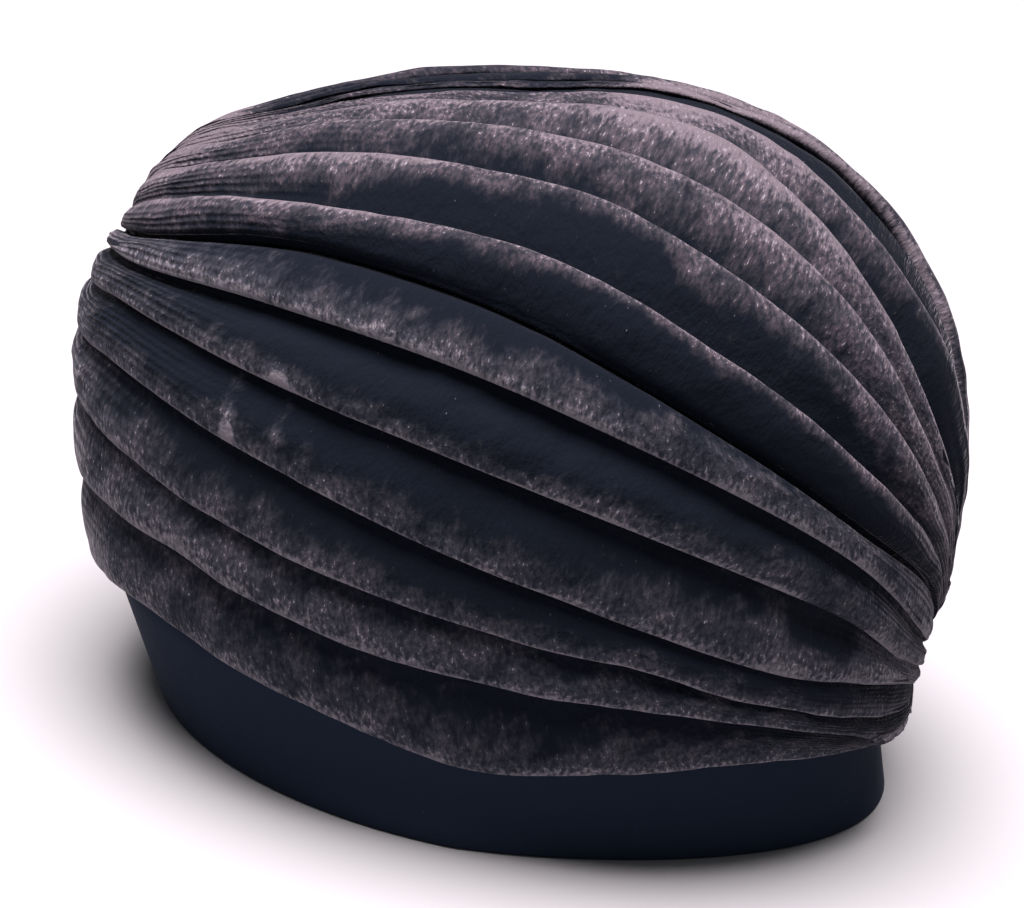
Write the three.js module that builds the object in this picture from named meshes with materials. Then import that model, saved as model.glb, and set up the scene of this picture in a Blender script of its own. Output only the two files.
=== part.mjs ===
// A ready-tied velvet turban, standing on its rim: a plain band round the head, and over it a cap of
// two pleated side panels and one pleated crown panel. All pleats run from a gather at the middle of
// the front to a gather high at the middle of the back. Millimetres, +Z up, front towards -Y, the
// rim on the plane z = 0 and the origin under the middle of the cap.
import * as THREE from "three";

// ---- Driving dimensions -------------------------------------------------------------------------
const CLOTH = 2; // wall of the cap, velvet doubled at the folds
const BAND_CLOTH = 2.2; // wall of the folded band
const GAP = 0.7; // clearance between neighbouring panels
const SEAM_GAP = 1.2; // clearance between the band and the panels' lower edges

const CAP_CENTRE = new THREE.Vector3(0, -7.5, 80); // inside the head, level with the widest section
const HALF_WIDTH = 95;
const FRONT_REACH = 109;
const BACK_REACH = 123;
const CROWN_RISE = 96;
const RIM_REACH = 168; // how far down the cap would close if the band didn't end it
const REACH_SHIFT = 20; // more of that at the front, less at the back
const FULLNESS = 2.2; // exponent of the rounded form: 2 is an ellipsoid, more is boxier
const SIDE_TUCK = 0.08; // share of the width drawn in towards the band
const TUCK_DEPTH = 60; // depth below the centre at which that share is reached
const CROWN_LEAN = 0.06; // the top is fuller over the forehead by this share, and flatter behind
const BACK_LEAN = 0.1; // the back leans outwards by this share of its height over the centre
const GATHER_TILT = THREE.MathUtils.degToRad(18.5); // front gather low, back gather high

const SIDE_RELIEF = 6.5; // deepest crease of the side pleats
const CROWN_RELIEF = 5; // deepest crease of the crown pleats
const RELIEF_TO_SPACING = 0.3; // creases get shallower where the folds crowd together
const DIMPLE_SINK = 6; // how far the fold ends are drawn in at each gather
const DIMPLE_SPREAD = THREE.MathUtils.degToRad(14); // and how wide, seen from the cap's centre
const ROWS = 21; // steps from gather to gather

const BAND_STEPS = 64;
const BAND_TUCK = 3; // height of the band hidden behind the lowest fold
const BAND_LEAN = 3; // how far its hidden top edge leans inwards
const BAND_RIM = { halfWidth: 78, front: 103.5, back: 93 }; // plan of the rim at z = 0
const BAND_FLARE = { halfWidth: 0.12, front: -0.28, back: 0.48 }; // growth for each mm of height
const BAND_EGG = 0.12; // share of the width lost towards the front end

// A stop is [along, around]: degrees from the front end of the gather line, and degrees round that
// line from straight down over the wearer's right side to the crown at 180.
const SIDE_FOLDS = [
  {
    fold: "seam fold",
    stops: [[6, 0], [10, 48], [22, 71], [45, 74], [62, 68], [78, 61], [105, 56], [130, 43], [141, 0]],
  },
  {
    fold: "second",
    stops: [
      [4.5, 0], [9, 50], [19.5, 68], [31, 80], [48, 82.5], [62, 80.5],
      [75, 77], [95, 71.5], [113, 66.8], [131, 60], [143, 46], [153, 0],
    ],
  },
  {
    fold: "third",
    stops: [
      [3.2, 0], [9, 58], [21, 79.5], [33, 85.5], [50, 87], [65, 87.3],
      [80, 83.8], [107, 78.3], [135, 69.5], [148, 60], [158, 42], [163, 0],
    ],
  },
  {
    fold: "fourth",
    stops: [
      [2.2, 0], [7, 70], [18, 92], [30, 94], [42, 93.3], [67, 93.3],
      [94, 90.8], [124, 87.2], [152, 77], [164, 52], [170, 0],
    ],
  },
  {
    fold: "fifth",
    stops: [
      [1.5, 70], [9, 94], [20, 101.5], [38, 108.5], [54, 108.3], [75, 106.6],
      [100, 103.9], [130, 99.5], [157, 91], [168, 72], [175, 0],
    ],
  },
  {
    fold: "sixth",
    stops: [
      [1.5, 92], [20, 115.5], [36, 119], [50, 119], [80, 117.3],
      [107, 115.8], [134, 112], [158, 104], [178.5, 60],
    ],
  },
  {
    fold: "valley",
    stops: [
      [3.5, 133], [20, 132], [45, 125], [75, 125],
      [105, 126.5], [135, 125], [160, 114], [178.5, 100],
    ],
  },
];
const CROWN_FOLDS = [
  SIDE_FOLDS[SIDE_FOLDS.length - 1],
  {
    fold: "first",
    stops: [
      [3.5, 148], [16, 142], [30, 137], [45, 134], [75, 134],
      [105, 136.5], [135, 134], [160, 131], [178.5, 130],
    ],
  },
  {
    fold: "second",
    stops: [
      [3.5, 155], [17, 149], [30, 144.5], [50, 143.5], [75, 145],
      [105, 149], [135, 149], [160, 148], [178.5, 150],
    ],
  },
  {
    fold: "third",
    stops: [
      [3.5, 161], [20, 154], [40, 148], [58, 152], [75, 155.5],
      [105, 160], [135, 163], [160, 162], [178.5, 165],
    ],
  },
  {
    fold: "fourth",
    stops: [
      [3.5, 167], [20, 158], [40, 152.5], [56, 157.5], [75, 164.5],
      [90, 170], [120, 172], [150, 172], [178.5, 172],
    ],
  },
  {
    fold: "ridge of the parting",
    stops: [
      [3.5, 175], [20, 175], [40, 173], [58, 170.5], [75, 174],
      [90, 177], [120, 177.5], [150, 177.5], [178.5, 177],
    ],
  },
];

// Half a saw tooth: the crease at the fold's edge, its rolled ridge, and the slope that dives under
// the next fold. "across" is the share of the pleat's width, "sink" the share of the relief.
const PLEAT_SECTION = [
  { across: 0, sink: 1 },
  { across: 0.07, sink: 0.2 },
  { across: 0.22, sink: 0 },
  { across: 0.62, sink: 0.42 },
];

const VELVET = { color: "#1d1b21", roughness: 0.95, metalness: 0 };
const BAND_VELVET = { color: "#121319", roughness: 0.95, metalness: 0 };

// ---- The cap's rounded form and the fold lines on it --------------------------------------------
/** Distance from the cap's centre to its rounded form in one direction. */
function formRadius(direction) {
  const depth = direction.y < 0 ? FRONT_REACH : BACK_REACH;
  const height = direction.z < 0 ? RIM_REACH - REACH_SHIFT * direction.y : CROWN_RISE;
  const sum =
    Math.abs(direction.x / HALF_WIDTH) ** FULLNESS +
    Math.abs(direction.y / depth) ** FULLNESS +
    Math.abs(direction.z / height) ** FULLNESS;
  return sum ** (-1 / FULLNESS);
}

/** How far the cap is drawn in near its two gathers, in one direction. */
function gatherDimple(direction) {
  const along = Math.abs(direction.y * Math.cos(GATHER_TILT) + direction.z * Math.sin(GATHER_TILT));
  const away = Math.acos(Math.min(1, along));
  return DIMPLE_SINK * Math.max(0, 1 - away / DIMPLE_SPREAD) ** 2;
}

/** The point of the cap in one direction, sunk below its rounded form by some millimetres. */
function formPoint(direction, sink) {
  const reach = formRadius(direction) - sink - gatherDimple(direction);
  const point = direction.clone().multiplyScalar(reach);
  const below = Math.max(0, -point.z / TUCK_DEPTH);
  const above = Math.max(0, point.z / CROWN_RISE);
  const behind = Math.max(0, point.y / BACK_REACH);
  point.x *= 1 - SIDE_TUCK * below ** 2;
  point.y *= 1 + (BACK_LEAN * behind * point.z) / CROWN_RISE;
  point.z *= 1 - (CROWN_LEAN * above * point.y) / FRONT_REACH;
  return point.add(CAP_CENTRE);
}

/** Direction from the cap's centre of one stop, given in degrees along and around the gather line. */
function stopDirection([along, around]) {
  const a = THREE.MathUtils.degToRad(along);
  const b = THREE.MathUtils.degToRad(around);
  const down = Math.sin(a) * Math.cos(b);
  return new THREE.Vector3(
    -Math.sin(a) * Math.sin(b),
    -Math.cos(a) * Math.cos(GATHER_TILT) + down * Math.sin(GATHER_TILT),
    -Math.cos(a) * Math.sin(GATHER_TILT) - down * Math.cos(GATHER_TILT),
  );
}

/** Directions along one fold line from front gather to back gather, closer together at the ends. */
function foldDirections({ stops }) {
  const line = new THREE.CatmullRomCurve3(stops.map(stopDirection), false, "centripetal");
  const directions = [];
  for (let row = 0; row <= ROWS; row += 1) {
    const share = 0.5 - 0.5 * Math.cos((Math.PI * row) / ROWS);
    directions.push(line.getPointAt(share).normalize());
  }
  return directions;
}

/**
 * Columns of points across a run of pleats. Each pleat lies between two fold lines, and its ridge is
 * at the first of them, or at the second where ridgeLast is true.
 */
function pleatColumns(folds, relief, ridgeLast) {
  const lines = folds.map(foldDirections);
  const columns = [];
  for (let pleat = 0; pleat < lines.length - 1; pleat += 1) {
    const ridge = ridgeLast ? lines[pleat + 1] : lines[pleat];
    const under = ridgeLast ? lines[pleat] : lines[pleat + 1];
    const own = PLEAT_SECTION.map(({ across, sink }) =>
      ridge.map((direction, row) => {
        const spacing = direction.distanceTo(under[row]) * HALF_WIDTH;
        const depth = Math.min(relief, RELIEF_TO_SPACING * spacing);
        const way = direction.clone().lerp(under[row], across).normalize();
        return formPoint(way, depth * sink);
      }),
    );
    columns.push(...(ridgeLast ? own.reverse() : own));
  }
  return columns;
}

/** The points of one fold line, sunk by the relief: the bottom of a crease. */
function creaseColumn(fold, relief) {
  return foldDirections(fold).map((direction) => formPoint(direction, relief));
}

// ---- The band's form ----------------------------------------------------------------------------
/** A point of the band's outer face at a height, in the plan direction of another point. */
function bandPoint(towards, height) {
  const x = towards.x;
  const y = towards.y - CAP_CENTRE.y;
  const end = y < 0 ? "front" : "back";
  const deep = BAND_RIM[end] + BAND_FLARE[end] * height;
  const egg = 1 + (BAND_EGG * Math.min(0, y)) / Math.hypot(x, y);
  const wide = (BAND_RIM.halfWidth + BAND_FLARE.halfWidth * height) * egg;
  const scale = 1 / Math.hypot(x / wide, y / deep);
  return new THREE.Vector3(x * scale, y * scale + CAP_CENTRE.y, height);
}

/** The same point moved outwards in plan, or inwards where the distance is below zero. */
function movedOut(point, distance) {
  const plan = new THREE.Vector3(point.x, point.y - CAP_CENTRE.y, 0);
  return point.clone().addScaledVector(plan.normalize(), distance);
}

// ---- Closed meshes ------------------------------------------------------------------------------
/** One mesh from points and triangles. */
function meshOf(name, points, triangles, finish) {
  const geometry = new THREE.BufferGeometry().setFromPoints(points);
  geometry.setIndex(triangles.flat());
  geometry.computeVertexNormals();
  const mesh = new THREE.Mesh(geometry, new THREE.MeshStandardMaterial(finish));
  mesh.name = name;
  return mesh;
}

/** The two triangles of a four-sided face, its corners in order. */
function faceOf(a, b, c, d) {
  return [[a, b, c], [a, c, d]];
}

/**
 * A cloth wall from columns of outer points: the same sheet moved inwards along its own normals
 * makes the inner face, and strips close the four edges. keep adjusts every finished point.
 */
function clothWall(name, columns, wall, finish, keep) {
  const rows = columns[0].length;
  const at = (column, row) => column * rows + row;
  const sheet = [];
  for (let column = 0; column < columns.length - 1; column += 1) {
    for (let row = 0; row < rows - 1; row += 1) {
      const here = at(column, row);
      const beside = at(column + 1, row);
      sheet.push(...faceOf(here, here + 1, beside + 1, beside));
    }
  }
  const outer = columns.flat();
  const normals = meshOf(name, outer, sheet, finish).geometry.getAttribute("normal");
  const inner = outer.map((point, index) => {
    const normal = new THREE.Vector3().fromBufferAttribute(normals, index);
    return point.clone().addScaledVector(normal, -wall);
  });
  const inside = outer.length;
  const last = columns.length - 1;
  const border = [];
  for (let column = 0; column < last; column += 1) border.push(at(column, 0));
  for (let row = 0; row < rows - 1; row += 1) border.push(at(last, row));
  for (let column = last; column > 0; column -= 1) border.push(at(column, rows - 1));
  for (let row = rows - 1; row > 0; row -= 1) border.push(at(0, row));
  const lining = sheet.map(([a, b, c]) => [a + inside, c + inside, b + inside]);
  const edges = border.flatMap((point, index) => {
    const next = border[(index + 1) % border.length];
    return faceOf(point, next, next + inside, point + inside);
  });
  return meshOf(name, [...outer, ...inner].map(keep), [...sheet, ...lining, ...edges], finish);
}

// ---- The four pieces ----------------------------------------------------------------------------
/** A side panel: side is -1 for the wearer's right, where x is below zero, and 1 for the left. */
function sidePanel(name, side) {
  const columns = pleatColumns(SIDE_FOLDS, SIDE_RELIEF, false);
  const seam = columns[0].map((point) => {
    const height = point.z - CLOTH / 2;
    return movedOut(bandPoint(point, height), SEAM_GAP);
  });
  const valley = creaseColumn(SIDE_FOLDS[SIDE_FOLDS.length - 1], CROWN_RELIEF / 2);
  const below = columns[columns.length - 1];
  const edge = valley.map((point, row) => point.clone().add(stepTowards(point, below[row])));
  const run = [seam, ...columns.slice(1), edge];
  const ordered = side < 0 ? run.reverse() : run.map((column) => column.map(mirrored));
  const keep = ({ x, y, z }) => new THREE.Vector3(side * Math.max(side * x, GAP / 2), y, z);
  return clothWall(name, ordered, CLOTH, VELVET, keep);
}

/** The same point on the other side of the head. */
function mirrored({ x, y, z }) {
  return new THREE.Vector3(-x, y, z);
}

/** Half the clearance, as a step from one point towards another. */
function stepTowards(from, to) {
  return to.clone().sub(from).normalize().multiplyScalar(GAP / 2);
}

/** The crown panel, over the top from the valley on one side to the valley on the other. */
function crownPanel(name) {
  const right = pleatColumns(CROWN_FOLDS, CROWN_RELIEF, true);
  const valley = creaseColumn(CROWN_FOLDS[0], CROWN_RELIEF / 2);
  right[0] = valley.map((point, row) => point.clone().add(stepTowards(point, right[1][row])));
  const left = right.map((column) => column.map(mirrored));
  return clothWall(name, [...left, ...right.reverse()], CLOTH, VELVET, (point) => point);
}

/** The plain band: its top follows the lowest fold and ends a little above it, out of sight. */
function rimBand(name) {
  const seam = foldDirections(SIDE_FOLDS[0]).map((direction) => formPoint(direction, 0));
  const heightAt = (plan) => {
    const turn = (point) => Math.atan2(Math.abs(point.x), -(point.y - CAP_CENTRE.y));
    const after = seam.findIndex((point) => turn(point) >= turn(plan) && point !== seam[0]);
    const next = after < 1 ? seam.length - 1 : after;
    const [low, high] = [seam[next - 1], seam[next]];
    const share = (turn(plan) - turn(low)) / (turn(high) - turn(low));
    return THREE.MathUtils.lerp(low.z, high.z, THREE.MathUtils.clamp(share, 0, 1));
  };
  const levels = [
    { share: 0, lean: 0 },
    { share: 0.45, lean: 0 },
    { share: 0.85, lean: 0 },
    { share: 1, lean: BAND_LEAN },
  ];
  const points = [];
  for (let step = 0; step < BAND_STEPS; step += 1) {
    const turn = (2 * Math.PI * step) / BAND_STEPS;
    const plan = new THREE.Vector3(-Math.sin(turn), -Math.cos(turn) + CAP_CENTRE.y, 0);
    const top = heightAt(plan) + BAND_TUCK;
    const outer = levels.map(({ share, lean }) => movedOut(bandPoint(plan, share * top), -lean));
    const inner = outer.map((point) => movedOut(point, -BAND_CLOTH));
    points.push(...outer, ...inner.reverse());
  }
  const around = 2 * levels.length;
  const triangles = [];
  for (let step = 0; step < BAND_STEPS; step += 1) {
    const here = step * around;
    const next = ((step + 1) % BAND_STEPS) * around;
    for (let corner = 0; corner < around; corner += 1) {
      const beside = (corner + 1) % around;
      triangles.push(...faceOf(here + corner, here + beside, next + beside, next + corner));
    }
  }
  return meshOf(name, points, triangles, BAND_VELVET);
}

const turban = new THREE.Group();
turban.add(rimBand("rim_band"));
turban.add(sidePanel("pleated_side_panel_right", -1));
turban.add(sidePanel("pleated_side_panel_left", 1));
turban.add(crownPanel("pleated_crown_panel"));

export default turban;
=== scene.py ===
"""A ready-tied velvet turban: pleated side and crown panels over a plain rim band.

The cap is a rounded form round the head. Its pleats are fold lines drawn on that form from a gather
low at the front to a gather high at the back, and each pleat is a section of rolled cloth carried
along its fold line. Lengths are in metres, +Z is up and the wearer looks towards -Y.
"""

import logging
import math
from dataclasses import dataclass
from enum import Enum

import bpy
import numpy as np
from mathutils import Matrix, Vector


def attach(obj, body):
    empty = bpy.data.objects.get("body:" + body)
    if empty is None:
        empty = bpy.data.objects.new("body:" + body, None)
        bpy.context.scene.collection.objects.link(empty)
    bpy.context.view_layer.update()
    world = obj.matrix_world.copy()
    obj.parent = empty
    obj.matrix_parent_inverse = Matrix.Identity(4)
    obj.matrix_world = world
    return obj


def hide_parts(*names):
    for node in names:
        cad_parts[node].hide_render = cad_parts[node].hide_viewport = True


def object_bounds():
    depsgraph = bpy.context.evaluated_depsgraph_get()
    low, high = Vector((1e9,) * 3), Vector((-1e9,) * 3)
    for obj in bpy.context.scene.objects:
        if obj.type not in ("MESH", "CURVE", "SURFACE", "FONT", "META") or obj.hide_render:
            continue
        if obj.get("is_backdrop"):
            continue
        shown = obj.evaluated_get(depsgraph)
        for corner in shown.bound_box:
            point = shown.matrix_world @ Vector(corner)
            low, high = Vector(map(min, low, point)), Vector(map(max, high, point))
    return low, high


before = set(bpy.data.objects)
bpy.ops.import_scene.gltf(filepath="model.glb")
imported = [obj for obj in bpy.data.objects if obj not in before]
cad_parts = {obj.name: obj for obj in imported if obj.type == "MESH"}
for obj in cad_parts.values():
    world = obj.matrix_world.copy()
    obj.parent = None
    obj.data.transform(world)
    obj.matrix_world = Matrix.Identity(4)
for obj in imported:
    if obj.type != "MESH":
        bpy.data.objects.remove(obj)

MM = 0.001
PILE_SLANT = math.radians(18)
LOG = logging.getLogger("turban")


# ---- Small tools --------------------------------------------------------------------------------
def linear(hex_colour: str) -> tuple[float, float, float, float]:
    """Turn an sRGB hex colour into the linear colour that shaders take.

    Args:
        hex_colour: Six hex digits after a hash sign.

    Returns:
        Red, green and blue as linear light, and an alpha of one.
    """
    parts = [int(hex_colour[i : i + 2], 16) / 255 for i in (1, 3, 5)]
    light = [p / 12.92 if p <= 0.04045 else ((p + 0.055) / 1.055) ** 2.4 for p in parts]
    return (light[0], light[1], light[2], 1.0)


def add_node(tree: bpy.types.NodeTree, kind: str, settings: dict, inputs: dict) -> bpy.types.Node:
    """Add one shader node, set it up and link it.

    Args:
        tree: The material's node tree.
        kind: The node's type name.
        settings: Attribute names and their values.
        inputs: Socket names or numbers, each with a value or with the output that feeds it.

    Returns:
        The new node.
    """
    node = tree.nodes.new(kind)
    for name, value in settings.items():
        setattr(node, name, value)
    for name, value in inputs.items():
        if isinstance(value, bpy.types.NodeSocket):
            tree.links.new(value, node.inputs[name])
        else:
            node.inputs[name].default_value = value
    return node


def soft_noise(x: np.ndarray, y: np.ndarray, seed: int) -> np.ndarray:
    """Smooth random waves between -1 and 1, about one wave for each two units.

    The value at a point is the smooth blend of four random numbers at the corners of its unit
    square.

    Args:
        x: First coordinate, in waves.
        y: Second coordinate, in waves.
        seed: Picks the random numbers.

    Returns:
        One value for each point.
    """
    table = np.random.default_rng(seed).uniform(-1.0, 1.0, (64, 64))
    column, row = np.floor(x).astype(int), np.floor(y).astype(int)
    fx, fy = x - column, y - row
    fx, fy = fx * fx * (3 - 2 * fx), fy * fy * (3 - 2 * fy)
    c0, c1, r0, r1 = column % 64, (column + 1) % 64, row % 64, (row + 1) % 64
    low = table[c0, r0] * (1 - fx) + table[c1, r0] * fx
    high = table[c0, r1] * (1 - fx) + table[c1, r1] * fx
    return low * (1 - fy) + high * fy


def smooth_step(value: np.ndarray, low: float, high: float) -> np.ndarray:
    """Rise smoothly from 0 where value is low to 1 where it is high."""
    share = np.clip((value - low) / (high - low), 0.0, 1.0)
    return share * share * (3 - 2 * share)


def unit(vectors: np.ndarray) -> np.ndarray:
    """The same vectors at length one."""
    return vectors / np.linalg.norm(vectors, axis=-1, keepdims=True)


def curve_through(points: np.ndarray, steps: int) -> np.ndarray:
    """A smooth curve through points given along the first axis of an array.

    Each span is a cubic that starts and ends at two points. Its slope at each is that of the
    parabola through the point and its neighbours, with the time between points the square root of
    their distance, so that an uneven spacing makes no loops.

    Args:
        points: Array of at least three points, (count, ..., channels). The first three channels
            are a place.
        steps: Samples on each span.

    Returns:
        Array of (count - 1) * steps + 1 points.
    """
    before, after = 2 * points[:1] - points[1:2], 2 * points[-1:] - points[-2:-1]
    full = np.concatenate([before, points, after])
    apart = np.linalg.norm(np.diff(full[..., :3], axis=0), axis=-1, keepdims=True)
    time = np.sqrt(apart + 1e-9)
    pace = np.diff(full, axis=0) / time
    joined = (full[2:] - full[:-2]) / (time[1:] + time[:-1])
    slope = pace[:-1] - joined + pace[1:]
    span = time[1:-1]
    a, b = points[:-1, None], points[1:, None]
    out, into = (slope[:-1] * span)[:, None], (slope[1:] * span)[:, None]
    t = (np.arange(steps) / steps).reshape((1, steps) + (1,) * (points.ndim - 1))
    curve = (
        (2 * t**3 - 3 * t**2 + 1) * a
        + (t**3 - 2 * t**2 + t) * out
        + (3 * t**2 - 2 * t**3) * b
        + (t**3 - t**2) * into
    )
    return np.concatenate([curve.reshape((-1,) + points.shape[1:]), points[-1:]])


def run_lengths(grid: np.ndarray, axis: int) -> np.ndarray:
    """Distance walked over the cloth along one axis of a grid, averaged over the other."""
    steps = np.linalg.norm(np.diff(grid, axis=axis), axis=-1).mean(axis=1 - axis)
    return np.concatenate([[0.0], np.cumsum(steps)])


# ---- Finishes -----------------------------------------------------------------------------------
@dataclass(frozen=True)
class VelvetFinish:
    """Stretch velvet: a knitted ground with a short, dense, brushed pile.

    The pile swallows light that meets it end on and scatters light that grazes it, so the cloth is
    blue-black where it lies smooth. Beside each rolled edge it is grey-mauve, where handling has
    brushed the pile over and where sheen is painted into its colour.

    Attributes:
        name: The material's name.
        pile: Colour deep in the smooth pile.
        brushed: Colour of pile that is brushed over, and of the painted sheen beside each rolled
            edge.
        warm: Colour of brushed pile where its warm dye shows.
        parted: Colour between tufts of brushed pile.
        lip: Colour along a rolled edge: the lighter pile that stands open there, with a painted
            highlight.
        glint_highlight: Colour of the painted glints of single bent tufts.
        sheen: Tint of the grazing light.
        sheen_weight: Strength of that light.
        crush: Depth of the pile's unevenness, as a share of that of well-worn velvet.
        tuft: Spacing of tufts along a fold; across it they lie 1.4 times as far apart.
        rib: Spacing of the knitted ground's ribs on the cloth map. The map is as wide near a
            gather as at the middle of the cap, so that there it shows 0.7 mm ribs.
    """

    name: str
    pile: str = "#0a0f18"
    brushed: str = "#3e3f48"
    warm: str = "#434047"
    parted: str = "#2c2d35"
    lip: str = "#68636a"
    glint_highlight: str = "#7a757d"
    sheen: str = "#c3bcc6"
    sheen_weight: float = 0.3
    crush: float = 1.0
    tuft: float = 1.15 * MM
    rib: float = 1.9 * MM

    def material(self) -> bpy.types.Material:
        """Build the shader: brushed bands with painted sheen, a painted highlight along each edge,
        painted glints, tufts in colour and bump, ribs, and a soft sheen.
        """
        material = bpy.data.materials.new(self.name)
        material.use_nodes = True
        tree = material.node_tree
        tree.nodes.clear()
        cloth = add_node(tree, "ShaderNodeUVMap", {"uv_map": "cloth"}, {}).outputs["UV"]
        clouds = self.grain(tree, cloth, (14 * MM, 9 * MM), 2.0)
        patches = self.grain(tree, cloth, (4 * MM, 4 * MM), 3.0)
        tufts = self.grain(tree, cloth, (self.tuft, 1.4 * self.tuft), 2.0)
        hairs = self.grain(tree, cloth, (0.45 * MM, 0.8 * MM), 1.0)
        ribs = self.ribs(tree, cloth)
        # This attribute is brushed pile and painted sheen. It is highest at each rolled edge.
        nap_and_sheen = add_node(tree, "ShaderNodeAttribute", {"attribute_name": "nap_and_sheen"}, {}).outputs["Fac"]
        uneven = self.blend(tree, nap_and_sheen, ((clouds, 0.9), (patches, 0.6), (tufts, 0.25), (ribs, 0.3)))
        brushed_and_sheen = self.ramp(tree, uneven, 0.22, 1.12)
        # Painted glints of single bent tufts.
        glint = self.blend(tree, brushed_and_sheen, ((hairs, 3.0), (tufts, 3.0)))
        glint = self.ramp(tree, glint, 1.3, 2.3)
        # Painted highlight along each rolled edge.
        edge = self.ramp(tree, self.blend(tree, nap_and_sheen, ((tufts, 0.4), (clouds, 0.3))), 0.82, 1.06)
        warmth = self.ramp(tree, clouds, 0.42, 0.62)
        open_pile = self.ramp(tree, tufts, 0.28, 0.66)
        colour = self.mix(tree, warmth, linear(self.brushed), linear(self.warm))
        colour = self.mix(tree, open_pile, linear(self.parted), colour)
        # Beside each rolled edge, the brushed colours with their painted sheen lie over the dark
        # pile.
        colour = self.mix(tree, brushed_and_sheen, linear(self.pile), colour)
        colour = self.mix(tree, edge, colour, linear(self.lip))
        colour = self.mix(tree, glint, colour, linear(self.glint_highlight))
        normal = None
        depths = ((clouds, 0.8), (patches, 0.5), (tufts, 0.30), (hairs, 0.08), (ribs, 0.5))
        for height, depth in depths:
            inputs = {"Height": height, "Strength": self.crush, "Distance": depth * MM}
            if normal is not None:
                inputs["Normal"] = normal
            normal = add_node(tree, "ShaderNodeBump", {}, inputs).outputs["Normal"]
        shader = add_node(
            tree,
            "ShaderNodeBsdfPrincipled",
            {},
            {
                "Base Color": colour,
                "Roughness": 0.95,
                "Metallic": 0.0,
                "IOR": 1.45,
                "Specular IOR Level": 0.1,
                "Sheen Weight": self.sheen_weight,
                "Sheen Roughness": 0.22,
                "Sheen Tint": linear(self.sheen),
                "Normal": normal,
            },
        )
        add_node(tree, "ShaderNodeOutputMaterial", {}, {"Surface": shader.outputs["BSDF"]})
        return material

    @staticmethod
    def grain(
        tree: bpy.types.NodeTree,
        cloth: bpy.types.NodeSocket,
        size: tuple[float, float],
        detail: float,
    ) -> bpy.types.NodeSocket:
        """Noise whose grains have one real spacing along the folds and another across them.

        Args:
            tree: The material's node tree.
            cloth: The cloth coordinates, in metres.
            size: Spacing of the grains along and across the folds.
            detail: Octaves of finer grain.

        Returns:
            The noise's value.
        """
        scaled = add_node(
            tree,
            "ShaderNodeMapping",
            {"vector_type": "TEXTURE"},
            {"Vector": cloth, "Rotation": (0.0, 0.0, PILE_SLANT), "Scale": (size[0], size[1], 1.0)},
        )
        noise = add_node(
            tree,
            "ShaderNodeTexNoise",
            {"noise_dimensions": "2D"},
            {"Vector": scaled.outputs["Vector"], "Scale": 1.0, "Detail": detail, "Roughness": 0.6},
        )
        return noise.outputs["Fac"]

    @staticmethod
    def ramp(
        tree: bpy.types.NodeTree, value: bpy.types.NodeSocket, low: float, high: float
    ) -> bpy.types.NodeSocket:
        """A value's smooth rise from 0 at low to 1 at high."""
        node = add_node(
            tree,
            "ShaderNodeMapRange",
            {"interpolation_type": "SMOOTHSTEP"},
            {"Value": value, "From Min": low, "From Max": high},
        )
        return node.outputs["Result"]

    @staticmethod
    def mix(
        tree: bpy.types.NodeTree, share: bpy.types.NodeSocket, first: object, second: object
    ) -> bpy.types.NodeSocket:
        """The first colour where the share is 0 and the second where it is 1."""
        node = add_node(
            tree, "ShaderNodeMix", {"data_type": "RGBA"}, {"Factor": share, 6: first, 7: second}
        )
        return node.outputs[2]

    @staticmethod
    def blend(
        tree: bpy.types.NodeTree, base: bpy.types.NodeSocket, grains: tuple
    ) -> bpy.types.NodeSocket:
        """A value made uneven by noises: each adds its distance from one half, times its share.

        Args:
            tree: The material's node tree.
            base: The value.
            grains: Pairs of a noise and its share.

        Returns:
            The uneven value.
        """
        total = base
        for grain, share in grains:
            shifted = add_node(
                tree,
                "ShaderNodeMath",
                {"operation": "MULTIPLY_ADD"},
                {0: grain, 1: share, 2: -share / 2},
            )
            summed = add_node(
                tree, "ShaderNodeMath", {"operation": "ADD"}, {0: total, 1: shifted.outputs[0]}
            )
            total = summed.outputs[0]
        return total

    def ribs(self, tree: bpy.types.NodeTree, cloth: bpy.types.NodeSocket) -> bpy.types.NodeSocket:
        """Fine ribs of the ground that run along the folds, opened up near the gathers."""
        split = add_node(tree, "ShaderNodeSeparateXYZ", {}, {"Vector": cloth})
        turns = add_node(
            tree,
            "ShaderNodeMath",
            {"operation": "MULTIPLY"},
            {0: split.outputs["Y"], 1: 2 * math.pi / self.rib},
        )
        wave = add_node(tree, "ShaderNodeMath", {"operation": "SINE"}, {0: turns.outputs[0]})
        near = add_node(tree, "ShaderNodeAttribute", {"attribute_name": "gather"}, {})
        half = add_node(
            tree, "ShaderNodeMath", {"operation": "MULTIPLY"}, {0: near.outputs["Fac"], 1: 0.5}
        )
        held = add_node(
            tree,
            "ShaderNodeMath",
            {"operation": "MULTIPLY_ADD"},
            {0: wave.outputs[0], 1: half.outputs[0], 2: 0.5},
        )
        return held.outputs[0]


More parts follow.
